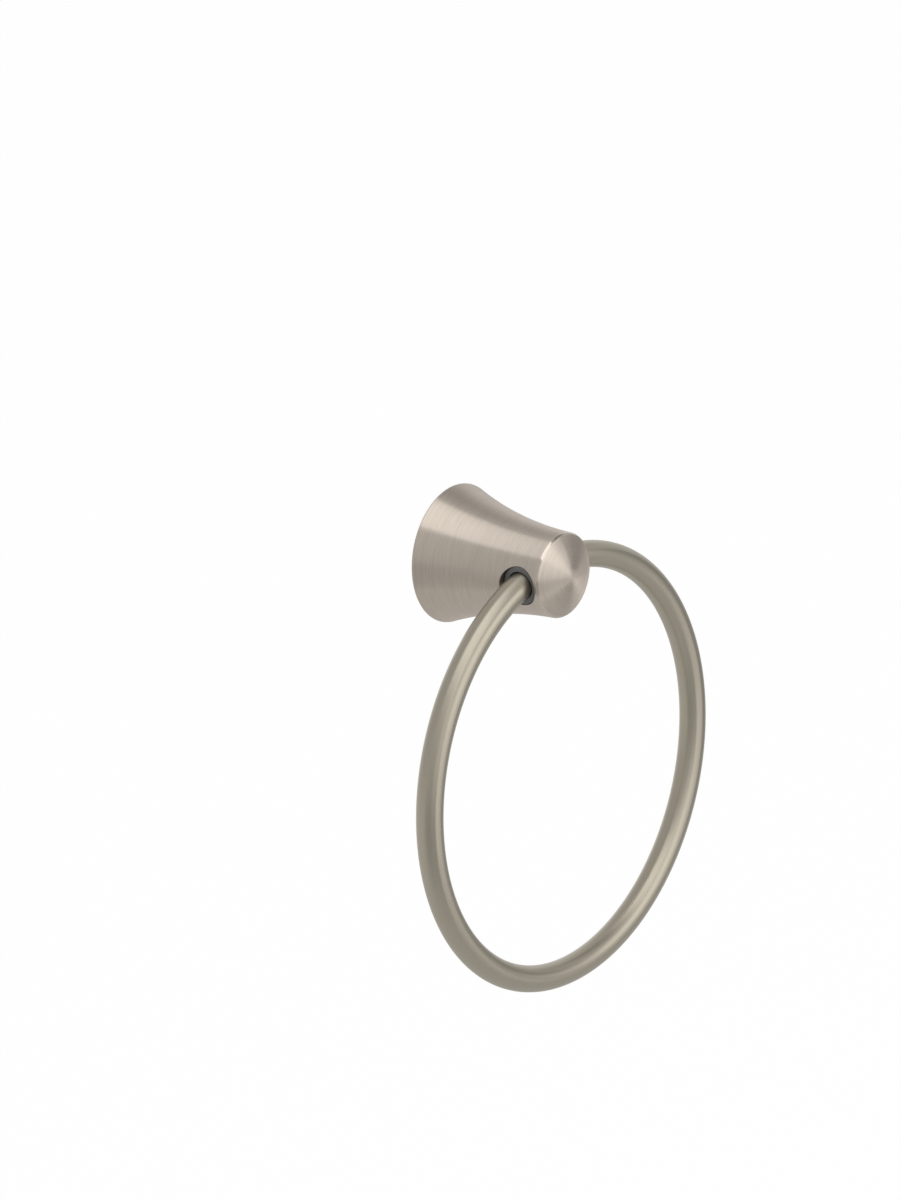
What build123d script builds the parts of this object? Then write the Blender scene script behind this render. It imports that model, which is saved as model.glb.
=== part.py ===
from build123d import *

import os
from math import asin, cos, degrees, hypot, sin, sqrt

# Wall-mounted towel ring: a trumpet-shaped post that hooks over a wall bracket, and a tube ring
# whose ends are sprung into two bushes in the sides of the post, so that it hangs and swings.
# The origin is the centre of the wall face, +Z is up, the wall is the plane y = 0, and the post
# stands out from it along -Y. A station is a distance from the wall. Lengths are in millimetres.

# Post: one casting, round about the Y axis, hollow at the back
base_diameter = 50.0  # at the wall
rim_diameter = 30.4  # where the flank meets the domed nose
flank_length = 48.0  # from the wall to the rim
flank_arc_radius = 132.0  # hollow curve of the flank, seen from the side
dome_height = 4.0  # of the nose beyond the rim
base_edge_round = 0.5
rim_round = 1.5
shell_wall = 3.0  # round the cavity at the back
cavity_depth = 26.0
cavity_corner_round = 3.0

# Pockets: a blind hole in each side of the post, on the axis that the ring swings about
pocket_diameter = 14.4
pocket_edge_round = 0.25
nose_land = 1.3  # of the flank left between a pocket and the rim
centre_web = 3.0  # metal left between the two pockets

# Bushes: one in the mouth of each pocket
bush_length = 4.0
bush_fit = 0.05  # radial gap to the pocket
bush_edge_round = 0.6
throat_depth = 0.7  # from the outer face to the narrowest place
throat_clearance = 0.2  # round the tube at the throat
lip_arc_radius = 1.5  # rounded mouth outside the throat
inner_relief = 0.65  # how much wider the bore is at its inner end

# Ring: one round tube, bent to a circle that is open inside the post
ring_diameter = 152.4  # of the tube's centre line
tube_diameter = 9.525
tube_wall = 1.0
tube_end_gap = 0.8  # from each end of the tube to the web

# Wall bracket: a round plate with an undercut rim and two countersunk screw holes
bracket_thickness = 6.0
bracket_clearance = 0.8  # from its rim to the wall of the cavity
bracket_undercut = 2.5  # how much smaller the plate is at the wall
wall_screw_spacing = 20.0
wall_screw_hole_diameter = 4.8
wall_screw_head_diameter = 9.0
wall_screw_head_angle = 82.0

# Hook: a rib at the top of the cavity that catches behind the rim of the bracket
hook_arc = 70.0  # degrees round the axis
hook_start = 0.8  # station of its wall side
hook_width = 3.0
hook_clearance = 0.2  # to the undercut rim

# Set screw: a grub screw that bears on the undercut rim from below
set_screw_station = 3.8
set_screw_diameter = 4.0
set_screw_fit = 0.05  # radial gap to its hole
set_screw_recess = 0.8  # of its outer end below the flank
set_screw_point_gap = 0.05  # from its point to the rim
socket_across_flats = 2.0
socket_depth = 2.0

base_radius = base_diameter / 2
rim_radius = rim_diameter / 2
pocket_radius = pocket_diameter / 2
pocket_station = flank_length - nose_land - pocket_radius
ring_radius = ring_diameter / 2
tube_radius = tube_diameter / 2

# Centre of the flank's arc, as (station, radius): square off the middle of its chord
flank_chord = hypot(flank_length, base_radius - rim_radius)
flank_rise = sqrt(flank_arc_radius**2 - (flank_chord / 2) ** 2)
flank_centre_station = flank_length / 2 + flank_rise * (base_radius - rim_radius) / flank_chord
flank_centre_radius = (base_radius + rim_radius) / 2 + flank_rise * flank_length / flank_chord


def flank_radius(station):
    """Radius of the outside of the post at a station."""
    return flank_centre_radius - sqrt(flank_arc_radius**2 - (station - flank_centre_station) ** 2)


def cavity_radius(station):
    """Radius of the cavity at a station: the flank, less the wall."""
    return flank_radius(station) - shell_wall


bracket_front_radius = cavity_radius(bracket_thickness) - bracket_clearance
bracket_wall_radius = bracket_front_radius - bracket_undercut


def bracket_rim_radius(station):
    """Radius of the bracket's undercut rim at a station."""
    return bracket_wall_radius + bracket_undercut * station / bracket_thickness


# The outer face of a bush is level with the post at the top and bottom of its pocket
bush_face = sqrt(flank_radius(pocket_station) ** 2 - pocket_radius**2)
bush_inner_end = bush_face - bush_length
throat = bush_face - throat_depth
bush_radius = pocket_radius - bush_fit

# The ring's centre line crosses the swing axis at the throats of the bushes
ring_drop = sqrt(ring_radius**2 - throat**2)
throat_radius = tube_radius * ring_radius / ring_drop + throat_clearance
mouth_radius = throat_radius + lip_arc_radius - sqrt(lip_arc_radius**2 - throat_depth**2)

# Side plane: station along its x, radius along its y
side_plane = Plane(origin=(0, 0, 0), x_dir=(0, -1, 0), z_dir=(-1, 0, 0))

# Post: the outside turned in one piece, with the dome square to the axis at its tip
with BuildPart() as post:
    with BuildSketch(side_plane):
        with BuildLine():
            Line((0, 0), (0, base_radius))
            RadiusArc((0, base_radius), (flank_length, rim_radius), -flank_arc_radius)
            TangentArc((flank_length + dome_height, 0), (flank_length, rim_radius), tangent=(0, 1))
            Line((flank_length + dome_height, 0), (0, 0))
        make_face()
        fillet(vertices().group_by(Axis.X)[0].sort_by(Axis.Y)[-1], base_edge_round)
        fillet(vertices().group_by(Axis.X)[-2], rim_round)
    revolve(axis=Axis.Y)

    # Cavity at the back, a wall's thickness inside the flank
    with BuildSketch(side_plane):
        with BuildLine():
            Line((0, 0), (0, cavity_radius(0)))
            RadiusArc(
                (0, cavity_radius(0)),
                (cavity_depth, cavity_radius(cavity_depth)),
                -(flank_arc_radius + shell_wall),
            )
            Line((cavity_depth, cavity_radius(cavity_depth)), (cavity_depth, 0))
            Line((cavity_depth, 0), (0, 0))
        make_face()
        fillet(vertices().group_by(Axis.X)[-1].sort_by(Axis.Y)[-1], cavity_corner_round)
    revolve(axis=Axis.Y, mode=Mode.SUBTRACT)

    # Hook at the top of the cavity, parallel to the bracket's rim
    hook_end = hook_start + hook_width
    with BuildSketch(side_plane.rotated((0, -hook_arc / 2, 0))):
        with BuildLine():
            Polyline(
                (hook_start, bracket_rim_radius(hook_start) + hook_clearance),
                (hook_end, bracket_rim_radius(hook_end) + hook_clearance),
                (hook_end, cavity_radius(hook_end) + shell_wall / 2),
                (hook_start, cavity_radius(hook_start) + shell_wall / 2),
                close=True,
            )
        make_face()
    revolve(axis=Axis.Y, revolution_arc=hook_arc)

    # Hole for the set screw, straight down through the wall of the cavity
    with BuildSketch(Plane.XY):
        with Locations((0, -set_screw_station)):
            Circle(set_screw_diameter / 2 + set_screw_fit)
    extrude(amount=-base_diameter, mode=Mode.SUBTRACT)

    # Pockets for the ring's ends, with the edge of each mouth eased
    for side in (-1, 1):
        with BuildSketch(Plane.YZ.offset(side * centre_web / 2)):
            with Locations((-pocket_station, 0)):
                Circle(pocket_radius)
        extrude(amount=side * base_diameter, mode=Mode.SUBTRACT)
        mouth = post.edges(Select.LAST).filter_by(GeomType.CIRCLE, reverse=True)
        fillet(mouth, pocket_edge_round)
post.part.label = "post"

# Bushes: a bell-mouthed lip outside the throat and a plain cone behind it
with BuildPart() as bush_right:
    with BuildSketch(Plane.XZ.offset(pocket_station)):
        with BuildLine():
            Line((bush_inner_end, bush_radius), (bush_face, bush_radius))
            Line((bush_face, bush_radius), (bush_face, mouth_radius))
            TangentArc((throat, throat_radius), (bush_face, mouth_radius), tangent=(1, 0))
            Line((throat, throat_radius), (bush_inner_end, throat_radius + inner_relief))
            Line((bush_inner_end, throat_radius + inner_relief), (bush_inner_end, bush_radius))
        make_face()
    swing_axis = Axis((0, -pocket_station, 0), (1, 0, 0))
    revolve(axis=swing_axis)
    face_edges = bush_right.edges().group_by(Axis.X)[-1]
    fillet(face_edges.sort_by(SortBy.RADIUS)[-1], bush_edge_round)
bush_right.part.label = "bush_right"

with BuildPart() as bush_left:
    mirror(bush_right.part, about=Plane.YZ)
bush_left.part.label = "bush_left"

# Ring: the tube's section carried round its circle from one end to the other
end_angle = asin((centre_web / 2 + tube_end_gap) / ring_radius)
ring_centre = (0, -pocket_station, -ring_drop)
end_plane = Plane(
    origin=ring_centre,
    x_dir=(sin(end_angle), 0, cos(end_angle)),
    z_dir=(-cos(end_angle), 0, sin(end_angle)),
)
with BuildPart() as ring:
    with BuildSketch(end_plane):
        with Locations((ring_radius, 0)):
            Circle(tube_radius)
            Circle(tube_radius - tube_wall, mode=Mode.SUBTRACT)
    revolve(axis=Axis(ring_centre, (0, 1, 0)), revolution_arc=360 - 2 * degrees(end_angle))
ring.part.label = "ring"

# Wall bracket: smaller at the wall than at its front, with its screw holes level
with BuildPart() as wall_bracket:
    with BuildSketch(side_plane):
        with BuildLine():
            Polyline(
                (0, 0),
                (0, bracket_wall_radius),
                (bracket_thickness, bracket_front_radius),
                (bracket_thickness, 0),
                close=True,
            )
        make_face()
    revolve(axis=Axis.Y)
    with Locations(Plane.XZ.offset(bracket_thickness)):
        with GridLocations(wall_screw_spacing, 0, 2, 1):
            CounterSinkHole(
                wall_screw_hole_diameter / 2,
                wall_screw_head_diameter / 2,
                counter_sink_angle=wall_screw_head_angle,
            )
wall_bracket.part.label = "wall_bracket"

# Set screw: a cone point against the rim, and a hexagon socket in its outer end
point_level = bracket_rim_radius(set_screw_station) + set_screw_point_gap
end_level = flank_radius(set_screw_station) - set_screw_recess
set_screw_radius = set_screw_diameter / 2
screw_plane = Plane(origin=(0, -set_screw_station, 0), x_dir=(1, 0, 0), z_dir=(0, -1, 0))
with BuildPart() as set_screw:
    with BuildSketch(screw_plane):
        with BuildLine():
            Polyline(
                (0, -point_level),
                (set_screw_radius, -point_level - set_screw_radius),
                (set_screw_radius, -end_level),
                (0, -end_level),
                close=True,
            )
        make_face()
    revolve(axis=Axis((0, -set_screw_station, 0), (0, 0, 1)))
    with BuildSketch(Plane.XY.offset(-end_level)):
        with Locations((0, -set_screw_station)):
            RegularPolygon(socket_across_flats / 2, 6, major_radius=False)
    extrude(amount=socket_depth, mode=Mode.SUBTRACT)
set_screw.part.label = "set_screw"

os.makedirs("parts", exist_ok=True)
for piece in (post, bush_left, bush_right, ring, wall_bracket, set_screw):
    export_step(piece.part, f"parts/{piece.part.label}.step")
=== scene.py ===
import math

import bmesh
import bpy
import numpy as np
from mathutils import Matrix


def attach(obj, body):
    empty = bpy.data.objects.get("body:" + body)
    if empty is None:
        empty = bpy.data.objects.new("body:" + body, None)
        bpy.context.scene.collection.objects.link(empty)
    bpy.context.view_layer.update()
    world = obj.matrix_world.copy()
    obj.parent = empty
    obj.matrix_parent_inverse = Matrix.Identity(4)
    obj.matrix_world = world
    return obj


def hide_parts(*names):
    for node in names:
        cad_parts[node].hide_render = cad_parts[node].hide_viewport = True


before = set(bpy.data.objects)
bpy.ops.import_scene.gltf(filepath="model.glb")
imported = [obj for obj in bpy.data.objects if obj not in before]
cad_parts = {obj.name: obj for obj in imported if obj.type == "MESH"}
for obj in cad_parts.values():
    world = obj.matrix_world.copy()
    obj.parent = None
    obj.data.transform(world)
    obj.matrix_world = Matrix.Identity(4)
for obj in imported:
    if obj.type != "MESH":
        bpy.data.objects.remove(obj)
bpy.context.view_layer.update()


# Wall bracket: a round zinc casting with an undercut rim, held to the wall by two countersunk
# screws. The post hooks over it, so only its back and its screw holes are ever seen.
mm = 0.001


class Tone:
    """A value in a material's node tree. Arithmetic on tones adds Math nodes, node() any other."""

    def __init__(self, tree, socket=None):
        self.tree = tree
        self.socket = socket

    def node(self, kind, settings, sockets, output=0):
        """Adds a node: its settings are set first, then each named socket gets a value or a link."""
        made = self.tree.nodes.new("ShaderNode" + kind)
        for name, value in settings.items():
            setattr(made, name, value)
        for name, value in sockets.items():
            if isinstance(value, Tone):
                self.tree.links.new(value.socket, made.inputs[name])
            else:
                made.inputs[name].default_value = value
        return Tone(self.tree, made.outputs[output] if made.outputs else None)

    def math(self, operation, first, second):
        """Adds a Math node with two values."""
        return self.node("Math", {"operation": operation}, {0: first, 1: second})

    def __add__(self, other):
        return self.math("ADD", self, other)

    def __radd__(self, other):
        return self.math("ADD", other, self)

    def __sub__(self, other):
        return self.math("SUBTRACT", self, other)

    def __rsub__(self, other):
        return self.math("SUBTRACT", other, self)

    def __mul__(self, other):
        return self.math("MULTIPLY", self, other)

    def __rmul__(self, other):
        return self.math("MULTIPLY", other, self)


def bare_material(name):
    """An empty material, and a tone that stands for its node tree."""
    material = bpy.data.materials.new(name)
    material.use_nodes = True
    material.node_tree.nodes.clear()
    return material, Tone(material.node_tree)


def noise(tree, place, scale, detail):
    """Soft noise from 0 to 1, at a scale in waves per metre."""
    return tree.node("TexNoise", {}, {"Vector": place, "Scale": scale, "Detail": detail}, "Fac")


def between(tree, share, low, high):
    """A colour between two others, by a share from 0 to 1. A Mix node's colours are its sockets 6 and
    7, and its output 2."""
    return tree.node("Mix", {"data_type": "RGBA"}, {0: share, 6: (*low, 1.0), 7: (*high, 1.0)}, 2)


def cast_zinc():
    """Bare zinc casting: a cloudy grey skin with fine pits."""
    material, tree = bare_material("cast_zinc")
    place = tree.node("TexCoord", {}, {}, "Object")
    cloud = noise(tree, place, scale=160.0, detail=4.0)
    pits = noise(tree, place, scale=1800.0, detail=2.0)
    surface = tree.node("BsdfPrincipled", {}, {
        "Base Color": between(tree, cloud, (0.34, 0.345, 0.35), (0.56, 0.565, 0.57)),
        "Metallic": 1.0,
        "Roughness": 0.42 + 0.2 * cloud,
        "Normal": tree.node("Bump", {}, {"Strength": 0.4, "Distance": 0.2 * mm, "Height": pits}),
    })
    tree.node("OutputMaterial", {}, {"Surface": surface})
    return material


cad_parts["wall_bracket"].material_slots[0].material = cast_zinc()


# Post: one zinc casting, turned to a hollow-sided trumpet with a low domed nose, then plated with
# nickel and brushed round its axis. It is hollow at the back, where a rib hooks over the bracket,
# and each side has a blind pocket for one end of the ring.
base_radius = 25.0 * mm
rim_radius = 15.2 * mm
flank_length = 48.0 * mm
flank_arc_radius = 132.0 * mm
dome_height = 4.0 * mm
base_edge_round = 0.5 * mm
rim_round = 1.5 * mm
shell_wall = 3.0 * mm
cavity_depth = 26.0 * mm
cavity_corner_round = 3.0 * mm
pocket_radius = 7.2 * mm
pocket_station = 39.5 * mm
pocket_edge_round = 0.25 * mm
pocket_floor = 1.5 * mm  # from the middle of the post
hook_start = 0.8 * mm
hook_end = 3.8 * mm
hook_half_turn = math.radians(35)
hook_clearance = 0.2 * mm
bracket_thickness = 6.0 * mm
bracket_clearance = 0.8 * mm
bracket_undercut = 2.5 * mm
screw_station = 3.8 * mm
screw_hole_radius = 2.05 * mm
rubbed_width = 1.2 * mm  # on each side of the rim
tip_radius = 3.5 * mm  # where the brushing turns too tightly to have a direction

# Rows of the mesh in order along the profile, and its columns round the axis
dome_rows = 36
rim_rows = 7
flank_steps = [2, 24, 36, 12, 2]  # the pockets' window is the second run, the screw's the fourth
base_rows = 6
cavity_steps = [2, 1, 6, 1, 5, 20]  # the screw's window is the third to fifth runs
corner_rows = 8
columns_round = 216
sliver = 1e-9  # two rows or columns this far apart make a square step

# Windows in that mesh: their margins round a hole, half their columns, and the loops in them
window_margin = 1.0 * mm
rim_margin = 0.35 * mm
pocket_half_columns = 20
pocket_loops = 12
ease_loops = 6
wall_loops = 5
floor_loops = 4
screw_half_columns = 6
screw_loops = 5


def circle_meet(first, first_radius, second, second_radius):
    """Where two circles cross, on the left of the line from the first centre to the second."""
    apart = abs(second - first)
    along = (first_radius**2 - second_radius**2 + apart**2) / (2 * apart)
    return first + (second - first) / apart * complex(along, math.sqrt(first_radius**2 - along**2))


def arc(centre, start, end, count):
    """Points of a circle from start to end, as complex numbers: station + i times radius."""
    angles = np.linspace(np.angle(start - centre), np.angle(end - centre), count)
    return centre + abs(start - centre) * np.exp(1j * angles)


def spaced(knots, steps):
    """Numbers from knot to knot, in the given number of even steps between each pair."""
    runs = [np.linspace(a, b, n, endpoint=False) for a, b, n in zip(knots, knots[1:], steps)]
    return np.append(np.concatenate(runs), knots[-1])


def quads(rows, columns, closed=False):
    """Corners of the faces between the rows of a grid whose columns close; its rows may close too."""
    corner = np.arange(rows * columns).reshape(rows, columns)
    if closed:
        corner = np.vstack([corner, corner[:1]])
    beside = np.roll(corner, -1, axis=1)
    return np.stack([corner[:-1], beside[:-1], beside[1:], corner[1:]], axis=-1)


def solid_piece(name, sheets):
    """One closed mesh from sheets of points and faces: their edges are joined, their faces turned
    outwards, and only sharp edges are left crisp."""
    join_distance = 0.001 * mm
    crisp_angle = math.radians(40)
    points = [grid.reshape(-1, 3) for grid, _ in sheets]
    starts = np.cumsum([0, *map(len, points[:-1])])
    corners = [faces.reshape(-1, 4) + start for (_, faces), start in zip(sheets, starts)]
    mesh = bpy.data.meshes.new(name)
    mesh.from_pydata(np.concatenate(points), [], np.concatenate(corners))
    shaped = bmesh.new()
    shaped.from_mesh(mesh)
    bmesh.ops.remove_doubles(shaped, verts=shaped.verts, dist=join_distance)
    bmesh.ops.recalc_face_normals(shaped, faces=shaped.faces)
    shaped.to_mesh(mesh)
    shaped.free()
    mesh.shade_smooth()
    mesh.set_sharp_from_angle(angle=crisp_angle)
    piece = bpy.data.objects.new(name, mesh)
    bpy.context.scene.collection.objects.link(piece)
    return piece


# The flank's arc has its centre square off the middle of the chord from the base to the rim
chord = complex(flank_length, rim_radius - base_radius)
rise = math.sqrt(flank_arc_radius**2 - abs(chord / 2) ** 2)
flank_centre = complex(0, base_radius) + chord / 2 + 1j * chord / abs(chord) * rise
dome_radius = (rim_radius**2 + dome_height**2) / (2 * dome_height)
dome_tip = complex(flank_length + dome_height, 0)
dome_centre = dome_tip - dome_radius


def radius_inside(station, depth):
    """Radius at a station of an arc about the flank's own centre, a depth inside the flank."""
    reach = np.sqrt((flank_arc_radius + depth) ** 2 - (station - flank_centre.real) ** 2)
    return flank_centre.imag - reach


def flank_radius(station):
    """Radius of the outside at a station: a hollow arc of a circle."""
    return radius_inside(station, 0.0)


def cavity_radius(station):
    """Radius of the cavity at a station: the flank's arc, a wall further in."""
    return radius_inside(station, shell_wall)


def hook_radius(station):
    """Radius of the hook at a station: a cone that stays clear of the bracket's undercut rim."""
    front = cavity_radius(bracket_thickness) - bracket_clearance
    return front - bracket_undercut * (1 - station / bracket_thickness) + hook_clearance


def towards(point, target, distance):
    """The point at a distance from one point in the direction of another."""
    return point + (target - point) / abs(target - point) * distance


def lay(station, across, height, facing):
    """Points from a station, an offset across and a height square to both, where the height faces
    an angle from the top."""
    x = height * math.sin(facing) + across * math.cos(facing)
    z = height * math.cos(facing) - across * math.sin(facing)
    return np.stack([x, np.broadcast_to(-station, x.shape), z], axis=-1)


def window_edge(rows, columns):
    """Row and column numbers round the edge of a window in a grid, once about, from its first corner."""
    width = len(columns) - 1
    height = len(rows) - 1
    row = [np.full(width, rows[0]), rows[:-1], np.full(width, rows[-1]), rows[:0:-1]]
    column = [columns[:-1], np.full(height, columns[-1]), columns[:0:-1], np.full(height, columns[0])]
    return np.concatenate(row), np.concatenate(column)


def rays_to_hole(station, across, hole_station, radius, loops):
    """Loops that shrink evenly, along rays from a hole's centre, from a window's edge to the hole's."""
    edge = (station - hole_station) + 1j * across
    share = np.linspace(0, 1, loops)[:, None]
    shrunk = (1 - share) * edge + share * radius * edge / abs(edge)
    return hole_station + shrunk.real, shrunk.imag


def post_mesh():
    """The post's profile carried round its axis, from the tip of the dome over the rim and flank to
    the wall face and into the cavity, with a window left for each hole. In a window, loops shrink to
    the hole on the curved side, and go down its wall."""
    rim_centre = circle_meet(
        flank_centre, flank_arc_radius + rim_round, dome_centre, dome_radius - rim_round)
    rim_start = towards(dome_centre, rim_centre, dome_radius)
    rim_end = towards(rim_centre, flank_centre, rim_round)
    base_centre = complex(base_edge_round, radius_inside(base_edge_round, base_edge_round))
    base_start = towards(base_centre, flank_centre, base_edge_round)
    corner_station = cavity_depth - cavity_corner_round
    corner_depth = shell_wall + cavity_corner_round
    corner_centre = complex(corner_station, radius_inside(corner_station, corner_depth))
    corner_start = towards(corner_centre, flank_centre, cavity_corner_round)
    corner_end = complex(cavity_depth, corner_centre.imag)

    pocket_nose_side = pocket_station + pocket_radius + rim_margin
    pocket_wall_side = pocket_station - pocket_radius - window_margin
    screw_nose_side = screw_station + screw_hole_radius + window_margin
    flank_stations = spaced(
        [rim_end.real, pocket_nose_side, pocket_wall_side, screw_nose_side, hook_start, base_start.real],
        flank_steps)
    hook_knots = [hook_start - sliver, hook_start, hook_end, hook_end + sliver]
    cavity_stations = spaced([0, *hook_knots, screw_nose_side, corner_start.real], cavity_steps)
    profile = np.concatenate([
        arc(dome_centre, dome_tip, rim_start, dome_rows),
        arc(rim_centre, rim_start, rim_end, rim_rows + 2)[1:-1],
        flank_stations + 1j * flank_radius(flank_stations),
        arc(base_centre, base_start, complex(0, base_centre.imag), base_rows + 1)[1:],
        cavity_stations + 1j * cavity_radius(cavity_stations),
        arc(corner_centre, corner_start, corner_end, corner_rows + 1)[1:],
        [complex(cavity_depth, 0)],
    ])
    first_flank_row = dome_rows + rim_rows
    first_cavity_row = first_flank_row + len(flank_stations) + base_rows
    flank_knot_rows = first_flank_row + np.cumsum(flank_steps)
    cavity_knot_rows = first_cavity_row + np.cumsum(cavity_steps)

    step = 2 * math.pi / columns_round
    hook_sides = [hook_half_turn + sliver, 2 * math.pi - hook_half_turn - sliver]
    turn = np.sort(np.append(np.arange(columns_round) * step, hook_sides))

    # The hook: inside its stations and its arc, the cavity's wall steps in to a cone
    station = profile.real[:, None] + 0 * turn
    radius = profile.imag[:, None] + 0 * turn
    in_hook_arc = np.cos(turn) >= math.cos(hook_half_turn + sliver / 2)
    hooked = (station >= hook_start) & (station <= hook_end) & in_hook_arc
    hooked[:first_cavity_row] = False
    radius = np.where(hooked, hook_radius(station), radius)
    points = np.stack([radius * np.sin(turn), -station, radius * np.cos(turn)], axis=-1)
    faces = quads(*station.shape)
    kept = np.ones(faces.shape[:2], bool)

    def window(rows, facing, half_columns):
        """Takes a window out of the grid, and gives the station and offset of points round its edge."""
        columns = np.flatnonzero(np.abs(turn - facing) < (half_columns + 0.5) * step)
        kept[rows.min():rows.max(), columns[0]:columns[-1]] = False
        row, column = window_edge(rows, columns)
        return station[row, column], radius[row, column] * np.sin(turn[column] - facing)

    # Pockets: the mouth's edge is eased, the wall goes straight in, and the floor closes to its centre
    sheets = []
    mouth = pocket_radius + pocket_edge_round
    ease = np.linspace(0, math.pi / 2, ease_loops + 1)[1:, None]
    wall_share = np.linspace(1, 0, wall_loops + 1)[1:, None]
    floor_share = np.linspace(1, 0, floor_loops + 1)[1:, None]
    pocket_rows = np.arange(flank_knot_rows[0], flank_knot_rows[1] + 1)
    for facing in (math.pi / 2, 3 * math.pi / 2):
        edge = window(pocket_rows, facing, pocket_half_columns)
        out_station, out_across = rays_to_hole(*edge, pocket_station, mouth, pocket_loops)
        out_height = np.sqrt(flank_radius(out_station) ** 2 - out_across**2)
        ray = ((out_station[-1] - pocket_station) + 1j * out_across[-1]) / mouth
        eased = (mouth - pocket_edge_round * np.sin(ease)) * ray
        eased_height = np.sqrt(flank_radius(pocket_station + eased.real) ** 2 - eased.imag**2)
        eased_height = eased_height - pocket_edge_round * (1 - np.cos(ease))
        wall_height = pocket_floor + wall_share * (eased_height[-1] - pocket_floor)
        floor_height = np.full((floor_loops, len(ray)), pocket_floor)
        wall_rays = pocket_radius * ray + 0 * wall_share
        inner = np.concatenate([eased, wall_rays, pocket_radius * floor_share * ray])
        pocket = lay(
            np.concatenate([out_station, pocket_station + inner.real]),
            np.concatenate([out_across, inner.imag]),
            np.concatenate([out_height, eased_height, wall_height, floor_height]),
            facing)
        sheets.append((pocket, quads(*pocket.shape[:2])))

    # Set screw's hole: from the flank straight through to the cavity
    outer_rows = np.arange(flank_knot_rows[2], flank_knot_rows[3] + 1)
    inner_rows = np.arange(cavity_knot_rows[4], cavity_knot_rows[1] - 1, -1)
    outer_edge = window(outer_rows, math.pi, screw_half_columns)
    inner_edge = window(inner_rows, math.pi, screw_half_columns)
    outer_station, outer_across = rays_to_hole(*outer_edge, screw_station, screw_hole_radius, screw_loops)
    inner_station, inner_across = rays_to_hole(*inner_edge, screw_station, screw_hole_radius, screw_loops)
    outer_height = np.sqrt(flank_radius(outer_station) ** 2 - outer_across**2)
    inner_height = np.sqrt(cavity_radius(inner_station) ** 2 - inner_across**2)
    hole = lay(
        np.concatenate([outer_station, inner_station[::-1]]),
        np.concatenate([outer_across, inner_across[::-1]]),
        np.concatenate([outer_height, inner_height[::-1]]),
        math.pi)
    sheets.append((hole, quads(*hole.shape[:2])))
    return [(points, faces[kept]), *sheets]


def tangents_along_axis(piece):
    """Puts the mesh's texture space far to one side, so that its own tangents run along the axis."""
    piece.data.use_auto_texspace = False
    piece.data.texspace_location = (-100.0, 0.0, 0.0)
    piece.data.texspace_size = (1.0, 1.0, 1.0)


def brushed_nickel():
    """Warm satin nickel, brushed round the axis, which spreads highlights along it. The brush lines
    lie at steps along the surface: out from the tip on the dome, then back along the flank. The rim
    is rubbed smoother, and the tip spreads highlights evenly."""
    material, tree = bare_material("brushed_nickel")
    place = tree.node("TexCoord", {}, {}, "Object")
    off_axis = tree.node("VectorMath", {"operation": "MULTIPLY"}, {0: place, 1: (1.0, 0.0, 1.0)})
    out = tree.node("VectorMath", {"operation": "LENGTH"}, {0: off_axis}, "Value")
    back = flank_length + tree.node("SeparateXYZ", {}, {0: place}, "Y")
    along = tree.math("MINIMUM", out, rim_radius) + tree.math("MAXIMUM", back, 0.0)

    def brush_lines(streak, line):
        """Noise drawn out round the axis: a streak's length and a line's width in metres."""
        round_about = tree.node("VectorMath", {"operation": "SCALE"}, {0: off_axis, "Scale": 1 / streak})
        steps = tree.node("CombineXYZ", {}, {"Y": along * (1 / line)})
        drawn = tree.node("VectorMath", {"operation": "ADD"}, {0: round_about, 1: steps})
        return noise(tree, drawn, scale=1.0, detail=2.0)

    fine = brush_lines(streak=8 * mm, line=0.20 * mm)
    coarse = brush_lines(streak=20 * mm, line=0.8 * mm)
    lines = 1.2 * fine + 0.5 * coarse - 0.35
    off_rim = tree.math("MAXIMUM", along - rim_radius, rim_radius - along)
    rubbed = tree.math("MAXIMUM", 1.0 - (1 / rubbed_width) * off_rim, 0.0)
    near_tip = tree.math("MAXIMUM", 1.0 - (1 / tip_radius) * along, 0.0)
    colour = between(tree, lines, (0.52, 0.457, 0.395), (0.725, 0.643, 0.559))
    grooves = tree.node("Bump", {}, {"Strength": 0.2, "Distance": 0.02 * mm, "Height": lines})
    brushed = tree.node("BsdfPrincipled", {}, {
        "Base Color": colour,
        "Metallic": 1.0,
        "Roughness": 0.34 + 0.06 * lines - 0.2 * rubbed,
        "Anisotropic": 1.0,
        "Normal": grooves,
    })
    tip = tree.node("BsdfPrincipled", {}, {
        "Base Color": colour,
        "Metallic": 1.0,
        "Roughness": 0.56 + 0.06 * lines,
        "Normal": grooves,
    })
    surface = tree.node("MixShader", {}, {0: near_tip, 1: brushed, 2: tip})
    tree.node("OutputMaterial", {}, {"Surface": surface})
    return material


post = solid_piece("brushed_post", post_mesh())
tangents_along_axis(post)
post.data.materials.append(brushed_nickel())
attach(post, "wall_post")
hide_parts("post")


# Set screw: a small steel grub screw with a hexagon socket, turned in from below against the
# undercut rim of the bracket, so that the post can't lift off.


def plain_steel():
    """Plain turned steel: dark grey with a slightly cloudy oxide skin."""
    material, tree = bare_material("plain_steel")
    place = tree.node("TexCoord", {}, {}, "Object")
    cloud = noise(tree, place, scale=900.0, detail=3.0)
    surface = tree.node("BsdfPrincipled", {}, {
        "Base Color": between(tree, cloud, (0.28, 0.28, 0.29), (0.46, 0.46, 0.47)),
        "Metallic": 1.0,
        "Roughness": 0.3 + 0.2 * cloud,
    })
    tree.node("OutputMaterial", {}, {"Surface": surface})
    return material


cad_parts["set_screw"].material_slots[0].material = plain_steel()


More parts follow.
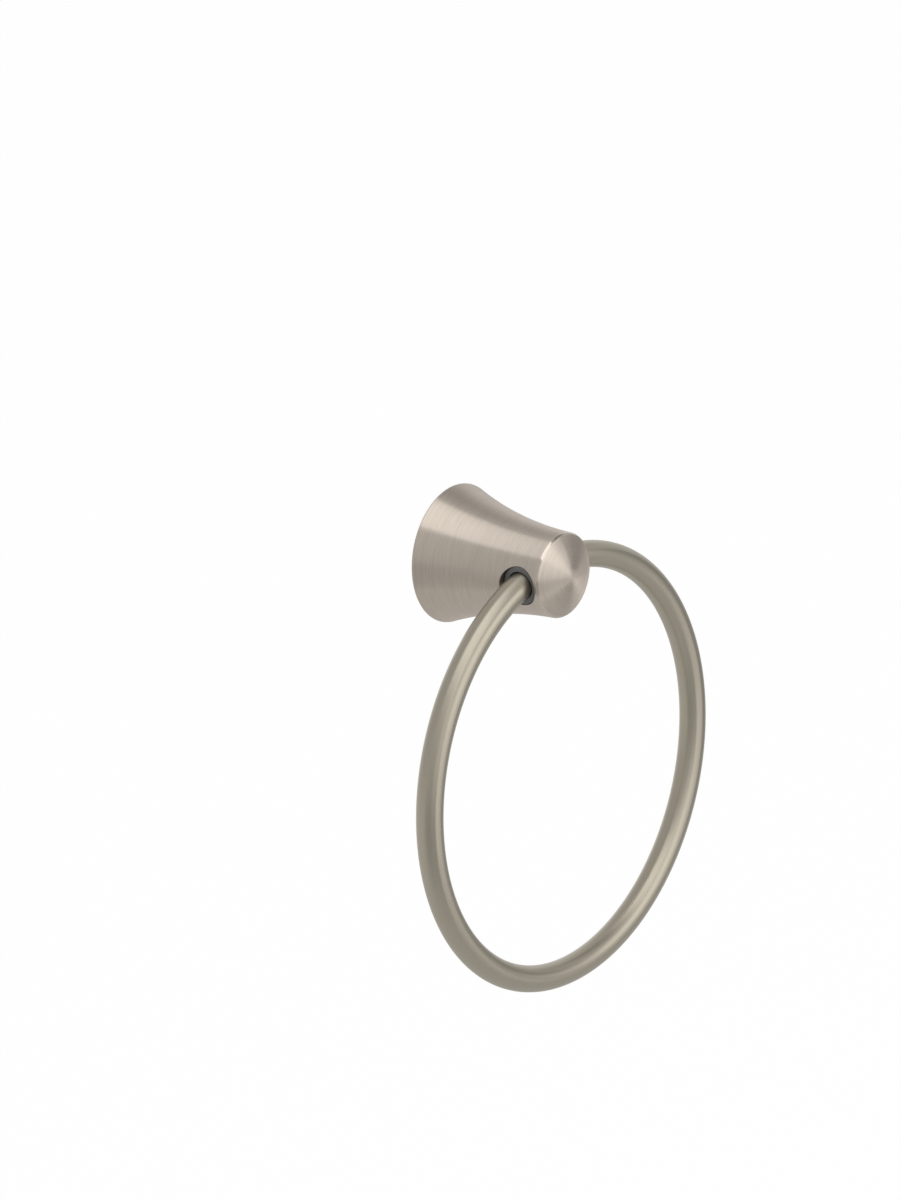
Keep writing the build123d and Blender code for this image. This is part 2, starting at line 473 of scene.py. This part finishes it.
# Bushes: two dark grey moulded plastic rings, pressed into the mouths of the pockets. Each has a
# rounded lip round a bell mouth, in which one end of the ring turns.
bush_radius = 7.15 * mm
bush_length = 4.0 * mm
bush_edge_round = 0.6 * mm
throat_depth = 0.7 * mm
throat_clearance = 0.2 * mm
lip_arc_radius = 1.5 * mm
inner_relief = 0.65 * mm
ring_radius = 76.2 * mm
tube_radius = 4.7625 * mm
bush_edge_rows = 9
bush_lip_rows = 12
bush_columns = 128

# A bush is level with the post at the top of its pocket, and the ring hangs from the bushes' throats
bush_face = math.sqrt(flank_radius(pocket_station) ** 2 - pocket_radius**2)
ring_drop = math.sqrt(ring_radius**2 - (bush_face - throat_depth) ** 2)
throat_radius = tube_radius * ring_radius / ring_drop + throat_clearance


def bush_mesh(side):
    """A closed profile carried round the swing axis: outside, rounded edge, face, bell mouth and cone."""
    edge_centre = complex(bush_face - bush_edge_round, bush_radius - bush_edge_round)
    edge_start = edge_centre + 1j * bush_edge_round
    edge_end = edge_centre + bush_edge_round
    throat = complex(bush_face - throat_depth, throat_radius)
    lip_centre = throat + 1j * lip_arc_radius
    mouth_drop = math.sqrt(lip_arc_radius**2 - throat_depth**2)
    mouth = complex(bush_face, lip_centre.imag - mouth_drop)
    inner = bush_face - bush_length
    profile = np.concatenate([
        [complex(inner, bush_radius)],
        arc(edge_centre, edge_start, edge_end, bush_edge_rows),
        arc(lip_centre, mouth, throat, bush_lip_rows),
        [complex(inner, throat_radius + inner_relief)],
    ])[:, None]
    turn = np.linspace(0, 2 * math.pi, bush_columns, endpoint=False)
    x = side * profile.real + 0 * turn
    y = profile.imag * np.sin(turn) - pocket_station
    z = profile.imag * np.cos(turn)
    return [(np.stack([x, y, z], axis=-1), quads(*x.shape, closed=True))]


def moulded_plastic():
    """Dark grey moulded plastic with a fine matt texture."""
    material, tree = bare_material("moulded_plastic")
    place = tree.node("TexCoord", {}, {}, "Object")
    cloud = noise(tree, place, scale=500.0, detail=2.0)
    grain = noise(tree, place, scale=5000.0, detail=2.0)
    surface = tree.node("BsdfPrincipled", {}, {
        "Base Color": between(tree, cloud, (0.11, 0.11, 0.112), (0.145, 0.145, 0.147)),
        "Roughness": 0.42 + 0.12 * grain,
        "Normal": tree.node("Bump", {}, {"Strength": 0.2, "Distance": 0.02 * mm, "Height": grain}),
    })
    tree.node("OutputMaterial", {}, {"Surface": surface})
    return material


bush_finish = moulded_plastic()
for side_name, side in (("left", -1), ("right", 1)):
    bush = solid_piece(f"moulded_bush_{side_name}", bush_mesh(side))
    bush.data.materials.append(bush_finish)
    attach(bush, "wall_post")
    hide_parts(f"bush_{side_name}")


# Ring: one length of nickel-plated steel tube, bent to a circle that stays open inside the post. Its
# ends are sprung apart into the two bushes, and it hangs and swings in them.
tube_wall = 1.0 * mm
tube_end = 2.3 * mm  # from the middle of the post
ring_rows = 361
tube_columns = 72


def ring_mesh():
    """The tube's circle carried round the ring's: out along its outside, then back along its bore."""
    end_angle = math.asin(tube_end / ring_radius)
    out = np.linspace(end_angle, 2 * math.pi - end_angle, ring_rows)
    sweep = np.concatenate([out, out[::-1]])[:, None]
    section = np.repeat([tube_radius, tube_radius - tube_wall], ring_rows)[:, None]
    turn = np.linspace(0, 2 * math.pi, tube_columns, endpoint=False)
    reach = ring_radius + section * np.cos(turn)
    x = reach * np.sin(sweep)
    y = section * np.sin(turn) - pocket_station
    z = reach * np.cos(sweep) - ring_drop
    return [(np.stack([x, y, z], axis=-1), quads(*reach.shape, closed=True))]


def satin_nickel():
    """Satin nickel with an even, very fine grain, a little greener than the brushed post. Its polish
    runs a quarter turn from the mesh's tangents, so it spreads highlights along the tube."""
    material, tree = bare_material("satin_nickel")
    place = tree.node("TexCoord", {}, {}, "Object")
    cloud = noise(tree, place, scale=90.0, detail=3.0)
    grain = noise(tree, place, scale=2600.0, detail=3.0)
    shade = 0.7 * grain + 0.3 * cloud
    surface = tree.node("BsdfPrincipled", {}, {
        "Base Color": between(tree, shade, (0.40, 0.364, 0.295), (0.48, 0.44, 0.36)),
        "Metallic": 1.0,
        "Roughness": 0.30 + 0.06 * grain,
        "Anisotropic": 0.7,
        "Anisotropic Rotation": 0.25,
        "Normal": tree.node("Bump", {}, {"Strength": 0.04, "Distance": 0.02 * mm, "Height": grain}),
    })
    tree.node("OutputMaterial", {}, {"Surface": surface})
    return material


ring = solid_piece("satin_ring", ring_mesh())
tangents_along_axis(ring)
ring.data.materials.append(satin_nickel())
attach(ring, "swing_ring")
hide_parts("ring")


# Studio: a white floor well below the ring, a pale grey room, a level softbox overhead and two
# upright ones in front. Cards that only mirroring surfaces see give the metal its darker tones.
floor_level = -0.45
floor_half = 100.0
white_share = 0.98  # of what the camera sees of the floor; the rest shows its shadows
square = [(-1, -1), (1, -1), (1, 1), (-1, 1)]


def sheet(name, corners):
    """A flat sheet of the studio, with corners in order round its edge."""
    mesh = bpy.data.meshes.new(name)
    mesh.from_pydata(corners, [], [range(len(corners))])
    made = bpy.data.objects.new(name, mesh)
    bpy.context.scene.collection.objects.link(made)
    return made


def white_floor():
    """Matt white that the camera and mirroring surfaces see as white, with a share left for shadows."""
    material, tree = bare_material("white_floor")
    from_camera = tree.node("LightPath", {}, {}, "Is Camera Ray")
    mirrored = tree.node("LightPath", {}, {}, "Is Glossy Ray")
    through = tree.node("LightPath", {}, {}, "Is Transmission Ray")
    seen = tree.math("MINIMUM", from_camera + mirrored + through, 1.0)
    matt = tree.node("BsdfDiffuse", {}, {"Color": (0.85, 0.85, 0.85, 1.0)})
    white = tree.node("Emission", {}, {"Color": (1.0, 1.0, 1.0, 1.0), "Strength": 1.0})
    surface = tree.node("MixShader", {}, {0: white_share * seen, 1: matt, 2: white})
    tree.node("OutputMaterial", {}, {"Surface": surface})
    return material


floor = sheet("floor", [(floor_half * x, floor_half * y, floor_level) for x, y in square])
floor.data.materials.append(white_floor())


def mirrored_card(name, corners, front_grey, back_grey):
    """A card seen in mirroring surfaces only. It goes from one grey to another over a metre, from in
    front of the wall to behind it."""
    grading_start = -0.5
    card = sheet(name, corners)
    card.visible_camera = False
    card.visible_diffuse = False
    card.visible_shadow = False
    card.visible_transmission = False
    material, tree = bare_material(name)
    place = tree.node("TexCoord", {}, {}, "Object")
    graded = tree.node("SeparateXYZ", {}, {0: place}, "Y") - grading_start
    share = tree.math("MINIMUM", tree.math("MAXIMUM", graded, 0.0), 1.0)
    glow = between(tree, share, [front_grey] * 3, [back_grey] * 3)
    light = tree.node("Emission", {}, {"Color": glow, "Strength": 1.0})
    tree.node("OutputMaterial", {}, {"Surface": light})
    card.data.materials.append(material)


def facing_corners(azimuth, elevation, distance, width, height):
    """Corners of a rectangle that faces the origin from a distance; azimuth 0 is the front."""
    turn = math.radians(azimuth)
    lift = math.radians(elevation)
    out = np.array([math.sin(turn) * math.cos(lift), -math.cos(turn) * math.cos(lift), math.sin(lift)])
    across = np.array([math.cos(turn), math.sin(turn), 0.0])
    up = np.cross(out, across)
    return [distance * out + a * across * width / 2 + b * up * height / 2 for a, b in square]


# A grey card covers the floor but for a wedge at the back on the right, where the metal mirrors the
# white floor. A paler paper lies on it, right below the ring.
card_level = floor_level + 0.01
card_outline = [
    (-floor_half, -floor_half),
    (floor_half, -floor_half),
    (floor_half, 83.2),
    (0.57, 0.48),
    (0.19, 0.72),
    (26.7, floor_half),
    (-floor_half, floor_half),
]
mirrored_card("grey_card", [(x, y, card_level) for x, y in card_outline], 0.384, 0.754)
paper_level = floor_level + 0.02
paper_half = 0.55
paper_corners = [(paper_half * x, paper_half * y, paper_level) for x, y in square]
mirrored_card("grey_paper", paper_corners, 0.617, 0.712)

# Two dark cards face the post from the right, one upright at its height and one high up. They draw
# the dark lines along the rim and the tube.
dark_corners = facing_corners(62, -3, distance=0.6, width=0.22, height=0.24)
mirrored_card("dark_card", dark_corners, 0.274, 0.274)
strip_corners = facing_corners(63, 48, distance=0.6, width=0.48, height=0.30)
mirrored_card("dark_strip", strip_corners, 0.24, 0.24)

# The room is an even grey, with a soft glow low down at the back on the right
room_grey = 0.617
glow_grey = 0.76
glow_falloff = 3.0
glow_direction = (0.69, 0.59, -0.41)
world = bpy.data.worlds.new("grey_room")
world.use_nodes = True
world.node_tree.nodes.clear()
room = Tone(world.node_tree)
look = room.node("TexCoord", {}, {}, "Generated")
facing_glow = room.node("VectorMath", {"operation": "DOT_PRODUCT"}, {0: look, 1: glow_direction}, "Value")
glow = room.math("POWER", room.math("MAXIMUM", facing_glow, 0.0), glow_falloff)
grey = room_grey + glow_grey * glow
shade = room.node("Background", {}, {"Color": (1.0, 1.0, 1.0, 1.0), "Strength": grey})
room.node("OutputWorld", {}, {"Surface": shade})
bpy.context.scene.world = world


def softbox(name, place, tilt, width, height, brightness):
    """An area light with a brightness as seen in a mirror, which takes a power of four times its area
    times that. Tilt 0 shines down, tilt 90 at the wall."""
    light = bpy.data.lights.new(name, "AREA")
    light.shape = "RECTANGLE"
    light.size = width
    light.size_y = height
    light.energy = brightness * 4 * width * height
    lamp = bpy.data.objects.new(name, light)
    lamp.location = place
    lamp.rotation_euler = (math.radians(tilt), 0, 0)
    bpy.context.scene.collection.objects.link(lamp)


softbox("key", (-0.23, -0.70, 1.25), tilt=0, width=1.22, height=1.8, brightness=0.85)
softbox("front_fill", (0.045, -0.65, 0.19), tilt=90, width=1.12, height=0.58, brightness=0.28)
softbox("right_fill", (0.24, -0.64, -0.07), tilt=90, width=0.72, height=0.74, brightness=0.50)


# Camera: a long lens from the left and above, as in the photograph. Its place follows from its two
# angles, its roll, its distance and the point it aims at, given to the right and up from the origin.
camera_azimuth = math.radians(-49.69)
camera_elevation = math.radians(23.0)
camera_roll = math.radians(-6.17)
camera_distance = 2.515
frame_height_pixels = 1200
focal_pixels = 7155.7
aim_right = -1.755 * mm
aim_up = -16.665 * mm

back = np.array([
    math.sin(camera_azimuth) * math.cos(camera_elevation),
    -math.cos(camera_azimuth) * math.cos(camera_elevation),
    math.sin(camera_elevation),
])
level_right = np.array([math.cos(camera_azimuth), math.sin(camera_azimuth), 0.0])
level_up = np.cross(back, level_right)
right = level_right * math.cos(camera_roll) + level_up * math.sin(camera_roll)
up = level_up * math.cos(camera_roll) - level_right * math.sin(camera_roll)
camera_data = bpy.data.cameras.new("camera")
camera_data.sensor_width = 36.0
camera_data.lens = camera_data.sensor_width * focal_pixels / frame_height_pixels
camera = bpy.data.objects.new("camera", camera_data)
place = aim_right * right + aim_up * up + camera_distance * back
camera.matrix_world = Matrix([*np.column_stack([right, up, back, place]), (0, 0, 0, 1)])
bpy.context.scene.collection.objects.link(camera)
bpy.context.scene.camera = camera
bpy.context.scene.view_settings.view_transform = "Standard"
